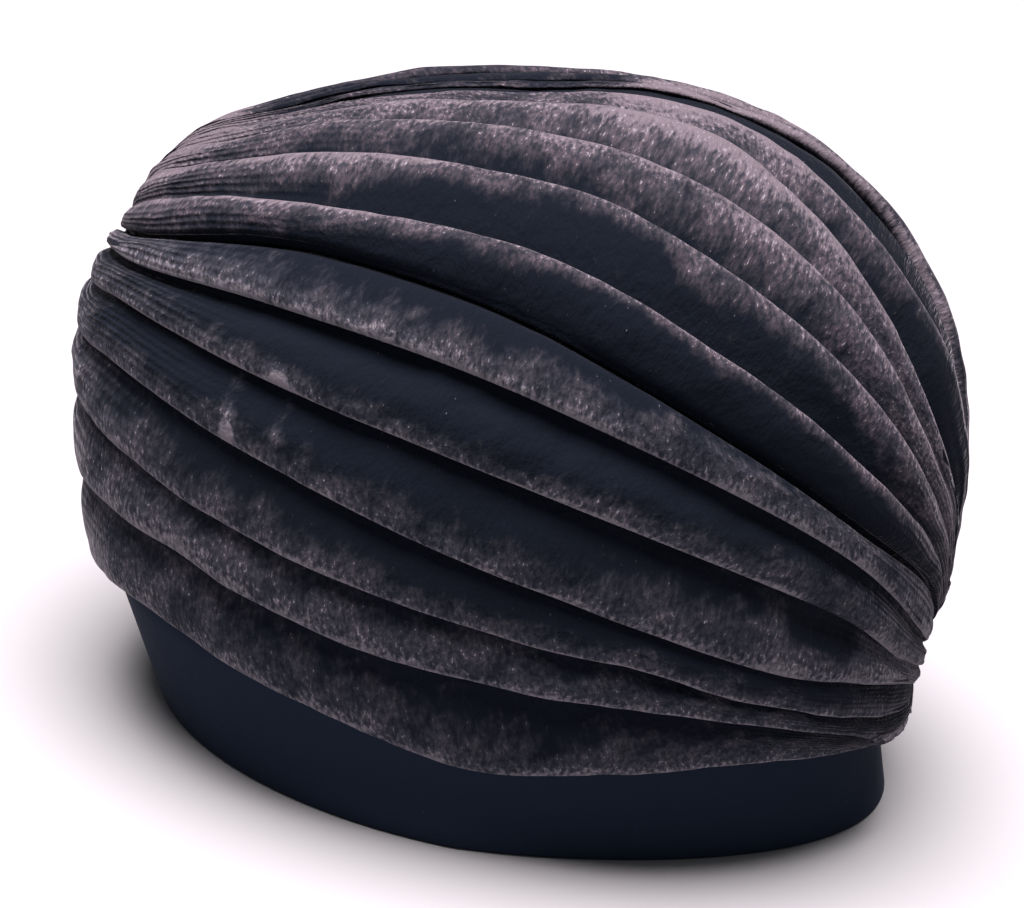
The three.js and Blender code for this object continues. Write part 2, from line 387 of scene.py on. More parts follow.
@dataclass(frozen=True)
class PlainFinish:
    """An even, rough, painted or spun surface, such as studio card or sewing thread.

    Attributes:
        name: The material's name.
        colour: Its colour.
        roughness: Its roughness.
    """

    name: str
    colour: str
    roughness: float

    def material(self) -> bpy.types.Material:
        """Build the shader, with a faint cloudiness so that it isn't one flat colour."""
        material = bpy.data.materials.new(self.name)
        material.use_nodes = True
        tree = material.node_tree
        shader = tree.nodes["Principled BSDF"]
        place = add_node(tree, "ShaderNodeTexCoord", {}, {})
        cloud = add_node(
            tree, "ShaderNodeTexNoise", {}, {"Vector": place.outputs["Object"], "Scale": 3.0}
        )
        shade = linear(self.colour)
        darker = tuple(0.97 * part for part in shade[:3]) + (1.0,)
        mix = add_node(
            tree,
            "ShaderNodeMix",
            {"data_type": "RGBA"},
            {"Factor": cloud.outputs["Fac"], 6: shade, 7: darker},
        )
        tree.links.new(mix.outputs[2], shader.inputs["Base Color"])
        shader.inputs["Roughness"].default_value = self.roughness
        shader.inputs["Specular IOR Level"].default_value = 0.3
        return material


# ---- The cap's rounded form ---------------------------------------------------------------------
@dataclass(frozen=True)
class CapForm:
    """The rounded form that the folds lie on, and the line between its two gathers.

    The form is a superellipsoid: the powers of x, y and z over its reach each way add up to one.
    Its top leans forwards, its back leans out and its sides draw in towards the band.

    Attributes:
        centre: Its middle, inside the head.
        half_width: Reach to each side.
        front: Reach to the front.
        back: Reach to the back.
        rise: Reach upwards.
        drop: Reach downwards, where the band ends it early.
        drop_shift: More of that at the front, less at the back.
        fullness: The power, where 2 is an ellipsoid.
        side_tuck: Share of the width drawn in towards the band.
        tuck_depth: Depth at which that share is reached.
        crown_lean: Share by which the top is fuller in front and flatter behind.
        back_lean: Share by which the back leans out.
        gather_tilt: Tilt of the gather line, low at the front.
        dimple: How deep the cloth is drawn in at a gather.
        dimple_spread: How wide that is, seen from the centre.
    """

    centre: np.ndarray
    half_width: float
    front: float
    back: float
    rise: float
    drop: float = 168 * MM
    drop_shift: float = 20 * MM
    fullness: float = 2.2
    side_tuck: float = 0.08
    tuck_depth: float = 60 * MM
    crown_lean: float = 0.06
    back_lean: float = 0.10
    gather_tilt: float = math.radians(18.5)
    dimple: float = 6 * MM
    dimple_spread: float = math.radians(14)

    @classmethod
    def from_frame(cls) -> "CapForm":
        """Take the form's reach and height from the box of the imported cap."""
        low, high = (np.array(corner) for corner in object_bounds())
        depth = high[1] - low[1]
        front = 0.4685 * depth
        centre = np.array([0.0, low[1] + front, 0.4558 * high[2]])
        return cls(
            centre=centre,
            half_width=high[0] + 0.3 * MM,
            front=front,
            back=0.5286 * depth,
            rise=high[2] - centre[2] + 0.5 * MM,
        )

    def radius(self, way: np.ndarray) -> np.ndarray:
        """Distance from the centre to the form in each unit direction."""
        deep = np.where(way[..., 1] < 0, self.front, self.back)
        high = np.where(way[..., 2] < 0, self.drop - self.drop_shift * way[..., 1], self.rise)
        parts = np.stack([way[..., 0] / self.half_width, way[..., 1] / deep, way[..., 2] / high])
        return (np.abs(parts) ** self.fullness).sum(axis=0) ** (-1 / self.fullness)

    def gather_dimple(self, way: np.ndarray) -> np.ndarray:
        """How far the cloth is drawn in near a gather, in each unit direction."""
        along = way[..., 1] * math.cos(self.gather_tilt) + way[..., 2] * math.sin(self.gather_tilt)
        away = np.arccos(np.clip(np.abs(along), 0, 1))
        return self.dimple * np.clip(1 - away / self.dimple_spread, 0, 1) ** 2

    def points(self, way: np.ndarray, sink: np.ndarray) -> np.ndarray:
        """Points of the cap in each unit direction, sunk below the form.

        Args:
            way: Unit directions from the centre, (..., 3).
            sink: Depth below the form at each.

        Returns:
            The points, (..., 3).
        """
        reach = self.radius(way) - sink - self.gather_dimple(way)
        point = way * reach[..., None]
        below = np.maximum(0, -point[..., 2] / self.tuck_depth)
        above = np.maximum(0, point[..., 2] / self.rise)
        behind = np.maximum(0, point[..., 1] / self.back)
        point[..., 0] *= 1 - self.side_tuck * below**2
        point[..., 1] *= 1 + self.back_lean * behind * point[..., 2] / self.rise
        point[..., 2] *= 1 - self.crown_lean * above * point[..., 1] / self.front
        return point + self.centre

    def directions(self, stops: np.ndarray) -> np.ndarray:
        """Unit directions of stops given in degrees along and around the gather line."""
        along, around = np.radians(stops[..., 0]), np.radians(stops[..., 1])
        tilt = self.gather_tilt
        down = np.sin(along) * np.cos(around)
        x = -np.sin(along) * np.sin(around)
        y = -np.cos(along) * math.cos(tilt) + down * math.sin(tilt)
        z = -np.cos(along) * math.sin(tilt) - down * math.cos(tilt)
        return np.stack([x, y, z], axis=-1)

    def polar(self, way: np.ndarray) -> tuple[np.ndarray, np.ndarray]:
        """Degrees along and around the gather line of unit directions: directions() backwards."""
        tilt = self.gather_tilt
        ahead = -way[..., 1] * math.cos(tilt) - way[..., 2] * math.sin(tilt)
        down = way[..., 1] * math.sin(tilt) - way[..., 2] * math.cos(tilt)
        along = np.degrees(np.arccos(np.clip(ahead, -1, 1)))
        return along, np.degrees(np.arctan2(-way[..., 0], down)) % 360


@dataclass(frozen=True)
class Mark:
    """A place where handling has brushed, smoothed or dented the cloth, or where shade is painted,
    along a short line.

    Attributes:
        first: One end of the line, [along, around] in degrees.
        second: The other end.
        width: Its half width in degrees.
        nap_and_sheen: How much more the pile is brushed over and sheen painted there; below zero it
            is painted shade.
        sink: How deep the dent is, or how high the swelling where it is below zero.
    """

    first: tuple[float, float]
    second: tuple[float, float]
    width: float
    nap_and_sheen: float
    sink: float = 0.0

    def strength(self, along: np.ndarray, around: np.ndarray) -> np.ndarray:
        """A bell curve of the distance to the line, one on the line itself.

        Args:
            along: Degrees along the gather line.
            around: Degrees around it, counted smaller towards its ends.

        Returns:
            The strength at each place.
        """
        shrink = math.sin(math.radians(self.first[0]))
        place = np.stack([along, around * shrink], axis=-1)
        start = np.array([self.first[0], self.first[1] * shrink])
        run = np.array([self.second[0], self.second[1] * shrink]) - start
        share = np.clip((place - start) @ run / (run @ run), 0, 1)
        away = np.linalg.norm(place - start - share[..., None] * run, axis=-1)
        return np.exp(-((away / self.width) ** 2))


@dataclass(frozen=True)
class Fold:
    """One fold line, and how its pleat is rolled.

    Attributes:
        stops: [along, around] in degrees: away from the front end of the gather line, and round
            that line from straight down over the wearer's right side to the crown at 180.
        roll: Radius of the rolled edge.
        relief: How far in millimetres the cloth beside the edge lies below it, at five even places
            from the front to the back.
        nap_and_sheen: Width in millimetres of the band of brushed pile and painted sheen beside the
            edge, at the same places.
        steep: Most that the relief may be, as a share of the pleat's width.
        puff: How round the pleat is between its edges, 0 to 1.
    """

    stops: tuple[tuple[float, float], ...]
    roll: float = 2.1 * MM
    relief: tuple[float, ...] = (6, 6, 6, 6, 6)
    nap_and_sheen: tuple[float, ...] = (12, 12, 12, 12, 12)
    steep: float = 0.34
    puff: float = 0.3

    def line(self, form: CapForm, rows: int) -> np.ndarray:
        """Directions along the fold, evenly spaced over most of it and closer at its two ends.

        Args:
            form: The form that the fold lies on.
            rows: How many directions.

        Returns:
            Unit directions, (rows, 3).
        """
        path = curve_through(form.directions(np.array(self.stops, float)), 60)
        walked = np.concatenate([[0], np.cumsum(np.linalg.norm(np.diff(path, axis=0), axis=1))])
        even = np.linspace(0, 1, rows)
        share = 0.45 * even + 0.55 * (0.5 - 0.5 * np.cos(math.pi * even))
        at = share * walked[-1]
        return unit(np.stack([np.interp(at, walked, path[:, axis]) for axis in range(3)], axis=1))


# The side folds from the seam over the band upwards, then the valley under the crown panel.
SEAM_FOLD = Fold(
    ((6, 0), (10, 48), (22, 71), (45, 74), (62, 68), (78, 61), (105, 56), (130, 43), (141, 0)),
    roll=2.2 * MM,
    relief=(3, 4, 4.5, 5, 5),
    nap_and_sheen=(2, 5, 14, 18, 18),
    puff=0.5,
)
SIDE_FOLDS = (
    SEAM_FOLD,
    Fold(
        (
            (4.5, 0), (9, 50), (19.5, 68), (31, 80), (48, 82.5), (62, 80.5),
            (75, 77), (95, 71.5), (113, 66.8), (131, 60), (143, 46), (153, 0),
        ),
        roll=1.9 * MM,
        relief=(3, 3.5, 3.5, 4, 4.5),
        nap_and_sheen=(1.5, 2.5, 12, 18, 16),
        steep=0.5,
    ),
    Fold(
        (
            (3.2, 0), (9, 58), (21, 79.5), (33, 85.5), (50, 87), (65, 87.3),
            (80, 83.8), (107, 78.3), (135, 69.5), (148, 60), (158, 42), (163, 0),
        ),
        roll=2.0 * MM,
        relief=(2, 2.2, 4, 4.5, 5),
        nap_and_sheen=(4, 4, 6, 12, 16),
        steep=0.42,
    ),
    Fold(
        (
            (2.2, 0), (7, 70), (18, 92), (30, 94), (42, 93.3), (67, 93.3),
            (94, 90.8), (124, 87.2), (152, 77), (164, 52), (170, 0),
        ),
        roll=2.3 * MM,
        relief=(5, 5, 6, 6, 6),
        nap_and_sheen=(14, 18, 8, 5, 9),
    ),
    Fold(
        (
            (1.5, 70), (9, 94), (20, 101.5), (38, 108.5), (54, 108.3), (75, 106.6),
            (100, 103.9), (130, 99.5), (157, 91), (168, 72), (175, 0),
        ),
        roll=2.4 * MM,
        relief=(2, 4, 6, 6, 6),
        nap_and_sheen=(12, 7, 5, 6, 9),
        steep=0.55,
    ),
    Fold(
        (
            (1.5, 92), (20, 115.5), (36, 119), (50, 119), (80, 117.3),
            (107, 115.8), (134, 112), (158, 104), (178.5, 60),
        ),
        roll=2.3 * MM,
        relief=(1.2, 2.2, 5, 6, 6),
        nap_and_sheen=(12, 9, 8, 10, 14),
    ),
)
VALLEY = Fold(
    (
        (3.5, 133), (20, 132), (45, 125), (75, 125),
        (105, 126.5), (135, 125), (160, 114), (178.5, 100),
    ),
)
# The crown folds from the valley to the top. The last is the ridge beside the parting of the top.
CROWN_FOLDS = (
    Fold(
        (
            (3.5, 148), (16, 142), (30, 137), (45, 134),
            (75, 134), (105, 136.5), (135, 134), (160, 131), (178.5, 130),
        ),
        relief=(4, 5, 5, 4.5, 4.5),
        nap_and_sheen=(4, 3, 3, 8, 14),
    ),
    Fold(
        (
            (3.5, 155), (17, 149), (30, 144.5), (50, 143.5),
            (75, 145), (105, 149), (135, 149), (160, 148), (178.5, 150),
        ),
        relief=(4, 5, 5, 4.5, 4.5),
        nap_and_sheen=(3, 9, 5, 9, 16),
    ),
    Fold(
        (
            (3.5, 161), (20, 154), (40, 148), (58, 152),
            (75, 155.5), (105, 160), (135, 163), (160, 162), (178.5, 165),
        ),
        roll=2.0 * MM,
        relief=(3, 4, 3.5, 2.6, 2.4),
        nap_and_sheen=(3, 14, 16, 10, 16),
    ),
    Fold(
        (
            (3.5, 167), (20, 158), (40, 152.5), (56, 157.5),
            (75, 164.5), (90, 170), (120, 172), (150, 172), (178.5, 172),
        ),
        roll=1.9 * MM,
        relief=(3, 4, 2.5, 1.9, 1.6),
        nap_and_sheen=(2, 6, 26, 22, 18),
    ),
    Fold(
        (
            (3.5, 175), (20, 175), (40, 173), (58, 170.5),
            (75, 174), (90, 177), (120, 177.5), (150, 177.5), (178.5, 177),
        ),
        roll=1.8 * MM,
        relief=(6, 10, 2, 1.5, 1.4),
        nap_and_sheen=(1, 1.5, 18, 18, 18),
        steep=0.45,
    ),
)

# The middle of the top, which the last ridge of each side overlaps.
TOP = Fold(((3.5, 180), (45, 180), (90, 180), (135, 180), (178.5, 180)))
TOP_SINK = 1.6 * MM

# One pleat from the hidden root under its own rolled edge to where it dives under the next one.
# Columns: share of the pleat's width, share of the roll's radius, share of the relief, and the same
# share where the pleat is full and round, as it is behind and beside the gathers.
PLEAT_SECTION = (
    ("root", 0.06, 1.80, 1.00, 1.00),
    ("underside", 0.00, 0.80, 0.92, 0.92),
    ("lip below", 0.00, 0.15, 0.66, 0.66),
    ("lip", 0.00, 0.00, 0.40, 0.40),
    ("brow", 0.00, 0.35, 0.14, 0.12),
    ("crest", 0.03, 1.30, 0.00, 0.00),
    ("shoulder", 0.22, 1.40, 0.05, -0.05),
    ("slope", 0.52, 0.70, 0.36, 0.04),
    ("dive", 0.86, 0.10, 0.80, 0.50),
)
LIP = 3
# Painted shade under a rolled edge: the share of the brushed pile and painted sheen that is left
# there.
SHADED_UNDER_LIP = {"root": 0.0, "underside": 0.0, "lip below": 0.6}

# Where the side panel runs under the crown panel, and how the crown panel's edge is turned under:
# distance across the valley line towards the crown, and depth below the form.
TUCKED_UNDER = ((0.0 * MM, 7.0 * MM), (3.0 * MM, 8.4 * MM), (6.0 * MM, 9.2 * MM))
TURNED_UNDER = (
    (2.6 * MM, 6.6 * MM), (0.6 * MM, 6.2 * MM), (0.0 * MM, 5.5 * MM), (1.2 * MM, 4.6 * MM),
)

# How much a roll's radius and a pleat's relief sway along a fold, and the finer waver of the radius.
ROLL_SWAY, ROLL_WAVER, RELIEF_SWAY = 0.22, 0.10, 0.18
# Most that a roll's radius may be, as a share of the pleat's width.
ROLL_LIMIT = 0.26
# A pleat's edge is a flat crease below the first relief and fully rolled above the second.
CREASE_RELIEF, ROLLED_RELIEF = 0.7 * MM, 2.4 * MM
# Brushed pile and painted sheen lost over one width of the brushed band.
NAP_FALL = 0.6

# On the sides: two brushed strokes behind the ear, and the hollow under the front tuck, darkened
# with painted shade, which the left side has too.
SIDE_MARKS = (
    Mark((134.5, 96), (131, 88), 1.3, 0.55),
    Mark((128.5, 101), (125, 93), 1.3, 0.45),
    Mark((44, 105), (37, 104), 3.0, -0.9, 1.2 * MM),
)
# On the crown: a smudge and a stroke low down, painted shade over the far side of the back, a
# hollow and two swellings beside the parting.
CROWN_MARKS = (
    Mark((85, 143), (77, 138), 2.0, 0.35),
    Mark((150, 140), (128, 142), 4.0, 0.25),
    Mark((156, 193), (108, 189), 4.0, -0.7),
    Mark((150, 178), (122, 178), 14.0, 0.0, 2.0 * MM),
    Mark((98, 178), (80, 175), 14.0, 0.2, -1.2 * MM),
    Mark((166, 160), (164, 200), 6.0, 0.3, -2.5 * MM),
)


class Side(Enum):
    """Which side of the head a panel lies on, as the sign of its x."""

    RIGHT = -1
    LEFT = 1


# ---- The pleated panels -------------------------------------------------------------------------
@dataclass
class PleatedPanel:
    """A panel of velvet laid in pleats between fold lines.

    Attributes:
        form: The form under the pleats.
        cloth: Thickness of the velvet.
        rows: Samples from gather to gather.
        steps: Samples between two points of the pleat section.
        seed: Picks the cloth's small unevenness.
        swell: Height of its broad waves.
        crush: Height of the dents of handling.
        crinkle: Height of the fine pleating at a gather.
    """

    form: CapForm
    cloth: float = 1.3 * MM
    rows: int = 221
    steps: int = 3
    seed: int = 1
    swell: float = 0.55 * MM
    crush: float = 0.22 * MM
    crinkle: float = 0.35 * MM

    def pleat(self, fold: Fold, own: np.ndarray, following: np.ndarray, seed: int) -> np.ndarray:
        """Section points of one pleat along its whole fold line, each with its brushed pile and
        painted sheen.

        The direction of a point is the blend of the pleat's own fold line and the following one,
        by its distance from the own line. Its depth is its share of the relief, and a pleat of
        little relief is a crease with no rolled edge. Its brushed pile and painted sheen fall evenly
        from one at the edge to zero at 1.7 times the brushed band's width, and under the rolled edge
        they are cut back to paint shade there.

        Args:
            fold: The pleat's fold.
            own: Directions of its own line, (rows, 3).
            following: Directions of the line that it runs under, (rows, 3).
            seed: Picks its unevenness.

        Returns:
            Points with their brushed pile and painted sheen, (section points, rows, 4).
        """
        rows = len(own)
        along = np.linspace(0, 9, rows)
        still = 0 * along
        width = np.linalg.norm(following - own, axis=1) * self.form.half_width + 1e-6
        roll = fold.roll * (1 + ROLL_SWAY * soft_noise(along, still, seed))
        roll = roll * (1 + ROLL_WAVER * soft_noise(4 * along, still, seed + 9))
        roll = np.minimum(roll, ROLL_LIMIT * width)
        even, places = np.linspace(0, 1, rows), np.linspace(0, 1, len(fold.nap_and_sheen))
        relief = np.interp(even, places, fold.relief) * MM
        relief = relief * (1 + RELIEF_SWAY * soft_noise(along, still, seed + 50))
        relief = np.minimum(relief, fold.steep * width)
        roll = roll * smooth_step(relief, CREASE_RELIEF, ROLLED_RELIEF)
        band = np.interp(even, places, fold.nap_and_sheen) * MM
        towards_end = smooth_step(np.abs(np.linspace(-1, 1, rows)), 0.55, 0.95)
        puff = np.clip(fold.puff + 0.7 * towards_end, 0, 1)
        section = []
        for name, by_width, by_roll, flat_sink, round_sink in PLEAT_SECTION:
            share = (by_width * width + by_roll * roll) / width
            way = unit(own * (1 - share[:, None]) + following * share[:, None])
            depth = (flat_sink * (1 - puff) + round_sink * puff) * relief
            nap_and_sheen = np.clip(1 - NAP_FALL * np.maximum(0, share * width) / band, 0, 1)
            nap_and_sheen = nap_and_sheen * SHADED_UNDER_LIP.get(name, 1.0)
            point = self.form.points(way, depth)
            section.append(np.concatenate([point, nap_and_sheen[:, None]], axis=1))
        return np.stack(section)

    def between(
        self,
        first: np.ndarray,
        second: np.ndarray,
        share: np.ndarray | float,
        sink: np.ndarray | float,
    ) -> np.ndarray:
        """Points between two lines on the form, sunk below it, with no brushed pile or painted
        sheen.

        Args:
            first: Directions of the first line, (rows, 3).
            second: Directions of the second line, (rows, 3).
            share: Share of the way from the first to the second, one or one for each row.
            sink: Depth below the form, one or one for each row.

        Returns:
            Points with their brushed pile and painted sheen, (rows, 4).
        """
        share = np.broadcast_to(share, len(first))[:, None]
        sinks = np.broadcast_to(sink, len(first))
        points = self.form.points(unit(first * (1 - share) + second * share), sinks)
        return np.concatenate([points, 0 * share], axis=1)

    def along_line(
        self, way: np.ndarray, beside: np.ndarray, across: float, sink: float
    ) -> np.ndarray:
        """Points along a line, moved a distance across it towards another, and sunk.

        Args:
            way: Directions of the line, (rows, 3).
            beside: Directions of the line that they move towards, (rows, 3).
            across: How far they move.
            sink: Depth below the form.

        Returns:
            Points with their brushed pile and painted sheen, (rows, 4).
        """
        width = np.linalg.norm(beside - way, axis=1) * self.form.half_width + 1e-6
        return self.between(way, beside, np.clip(across / width, -0.6, 0.6), sink)

    def uneven(
        self, surface: np.ndarray, marks: tuple[Mark, ...], seed: int
    ) -> tuple[np.ndarray, np.ndarray, np.ndarray]:
        """Move the cloth outwards by soft waves, by crinkles near the gathers and by marks.

        It moves straight away from the form's middle, so that folded layers never cross.

        Args:
            surface: The smooth cloth's points with their brushed pile and painted sheen, (rows,
                columns, 4).
            marks: The marks that handling has left on it.
            seed: Picks the waves.

        Returns:
            The uneven cloth's points, their brushed pile and painted sheen, and how near each point
            is to a gather, 0 to 1.
        """
        grid, nap_and_sheen = surface[..., :3], surface[..., 3]
        along = run_lengths(grid, 0)[:, None] + 0 * nap_and_sheen
        across = run_lengths(grid, 1)[None, :] + 0 * nap_and_sheen
        outwards = unit(grid - self.form.centre)
        far, around = self.form.polar(outwards)
        away = np.minimum(far, 180 - far)
        near = 1 - smooth_step(away, 10, 52)
        swell = self.swell * soft_noise(along / (16 * MM), across / (11 * MM), seed)
        crush = self.crush * soft_noise(along / (5 * MM), across / (4 * MM), seed + 1)
        fine = soft_noise(along / (7 * MM), across / (1.6 * MM), seed + 2)
        crinkle = self.crinkle * near**2 * fine
        lift = (swell + crush + crinkle) * smooth_step(away, 2, 8)
        for mark in marks:
            strength = mark.strength(far, around)
            lift = lift - mark.sink * strength
            nap_and_sheen = nap_and_sheen + mark.nap_and_sheen * strength
        return grid + outwards * lift[..., None], nap_and_sheen, near

    def mesh_object(
        self, name: str, grid: np.ndarray, nap_and_sheen: np.ndarray, near: np.ndarray
    ) -> bpy.types.Object:
        """Make the cloth's object from its outer face, with its wall turned inwards.

        Args:
            name: The object's name.
            grid: Points of the outer face, (rows, columns, 3), its normals pointing out.
            nap_and_sheen: How much the pile is brushed over, and how much sheen is painted, at each.
            near: How near each is to a gather.

        Returns:
            The object, with a cloth map in metres and a wall.
        """
        piece = grid_object(name, grid, wrap=False)
        for title, values in (("nap_and_sheen", nap_and_sheen), ("gather", near)):
            noted = piece.data.attributes.new(title, "FLOAT", "POINT")
            noted.data.foreach_set("value", values.ravel().astype(np.float32))
        wall = piece.modifiers.new("wall", "SOLIDIFY")
        wall.thickness = self.cloth
        wall.offset = -1.0
        wall.use_even_offset = False
        return piece


def grid_object(name: str, grid: np.ndarray, wrap: bool) -> bpy.types.Object:
    """Make an object of four-sided faces from a grid of points, with a cloth map in metres.

    Args:
        name: The object's name.
        grid: Points, (rows, columns, 3).
        wrap: Whether the last column joins the first.

    Returns:
        The object, linked to the scene.
    """
    rows, columns = grid.shape[:2]
    index = np.arange(rows * columns).reshape(rows, columns)
    beside = np.roll(index, -1, axis=1) if wrap else index[:, 1:]
    here = index if wrap else index[:, :-1]
    quads = np.stack([here[:-1], here[1:], beside[1:], beside[:-1]], axis=-1).reshape(-1, 4)
    mesh = bpy.data.meshes.new(name)
    mesh.from_pydata(grid.reshape(-1, 3).tolist(), [], quads.tolist())
    along = run_lengths(grid, 0)
    across = run_lengths(grid, 1)
    if wrap:
        around = across[-1] + np.linalg.norm(grid[:, -1] - grid[:, 0], axis=1).mean()
        across = np.append(across, around)
    u = np.broadcast_to(along[:, None], (rows, len(across)))
    v = np.broadcast_to(across[None, :], (rows, len(across)))
    place = np.stack([u, v], axis=-1)
    left, right = place[:, : here.shape[1]], place[:, 1 : here.shape[1] + 1]
    corners = np.stack([left[:-1], left[1:], right[1:], right[:-1]], axis=2)
    layer = mesh.uv_layers.new(name="cloth")
    layer.data.foreach_set("uv", corners.ravel().astype(np.float32))
    mesh.polygons.foreach_set("use_smooth", np.ones(len(quads), bool))
    mesh.update()
    piece = bpy.data.objects.new(name, mesh)
    bpy.context.scene.collection.objects.link(piece)
    return piece


@dataclass
class SidePanel(PleatedPanel):
    """The pleats of one side, from the seam over the band up to the valley under the crown.

    Attributes:
        side: Which side it lies on.
        band: The band that its lowest fold hangs over.
    """

    side: Side = Side.RIGHT
    band: "RimBand" = None

    def surface(self) -> np.ndarray:
        """The smooth cloth, a grid from front to back and from the seam to the valley."""
        lines = [fold.line(self.form, self.rows) for fold in (*SIDE_FOLDS, VALLEY)]
        sections = [
            self.pleat(fold, lines[number], lines[number + 1], self.seed + 7 * number)
            for number, fold in enumerate(SIDE_FOLDS)
        ]
        lowest = sections[0]
        lip = lowest[LIP]
        tuck, under = lowest[0].copy(), lowest[1].copy()
        tuck[:, :3] = self.band.beside(lip, lip[:, 2] + 5 * MM, self.cloth + 0.5 * MM)
        under[:, :3] = self.band.beside(lip, lip[:, 2] + 1.5 * MM, self.cloth + 1.0 * MM)
        sections[0] = np.concatenate([[tuck, under], lowest[2:]])
        valley, crown = lines[-1], CROWN_FOLDS[0].line(self.form, self.rows)
        tucked = [self.along_line(valley, crown, *place) for place in TUCKED_UNDER]
        controls = np.concatenate([*sections, tucked])
        return curve_through(controls, self.steps).transpose(1, 0, 2)

    def build(self, finish: bpy.types.Material) -> bpy.types.Object:
        """Make the panel, dress it and set it on the body.

        Args:
            finish: Its material.

        Returns:
            The panel's object.
        """
        name = f"pleated_side_{self.side.name.lower()}"
        marks = SIDE_MARKS if self.side is Side.RIGHT else SIDE_MARKS[-1:]
        grid, nap_and_sheen, near = self.uneven(self.surface()[:, ::-1], marks, self.seed)
        grid[..., 0] = np.minimum(grid[..., 0], -0.35 * MM)
        if self.side is Side.LEFT:
            grid = grid[:, ::-1] * np.array([-1.0, 1.0, 1.0])
            nap_and_sheen, near = nap_and_sheen[:, ::-1], near[:, ::-1]
        piece = self.mesh_object(name, grid, nap_and_sheen, near)
        piece.data.materials.append(finish)
        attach(piece, "root")
        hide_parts(f"pleated_side_panel_{self.side.name.lower()}")
        return piece


@dataclass
class CrownPanel(PleatedPanel):
    """The pleats over the top, from the valley on one side to the valley on the other."""

    def surface(self) -> np.ndarray:
        """The smooth cloth, a grid from front to back and from the right valley to the left."""
        lines = [fold.line(self.form, self.rows) for fold in (VALLEY, *CROWN_FOLDS)]
        valley = lines[0]
        edge = [self.along_line(valley, lines[1], *place) for place in TURNED_UNDER]
        sections = [edge]
        for number, fold in enumerate(CROWN_FOLDS):
            own, under = lines[number + 1], lines[number]
            run = self.pleat(fold, own, under, self.seed + 7 * number)
            sections.append(run[::-1])
        right = np.concatenate(sections)
        top = TOP.line(self.form, self.rows)
        middle = self.between(top, top, 0.0, TOP_SINK)
        middle[:, 0], middle[:, 3] = 0, right[-1][:, 3]
        mirrored = right[::-1] * np.array([-1.0, 1.0, 1.0, 1.0])
        controls = np.concatenate([right, middle[None], mirrored])
        return curve_through(controls, self.steps).transpose(1, 0, 2)

    def build(self, finish: bpy.types.Material) -> bpy.types.Object:
        """Make the panel, dress it and set it on the body.

        Args:
            finish: Its material.

        Returns:
            The panel's object.
        """
        grid, nap_and_sheen, near = self.uneven(self.surface()[:, ::-1], CROWN_MARKS, self.seed)
        piece = self.mesh_object("pleated_crown", grid, nap_and_sheen, near)
        piece.data.materials.append(finish)
        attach(piece, "root")
        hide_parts("pleated_crown_panel")
        return piece


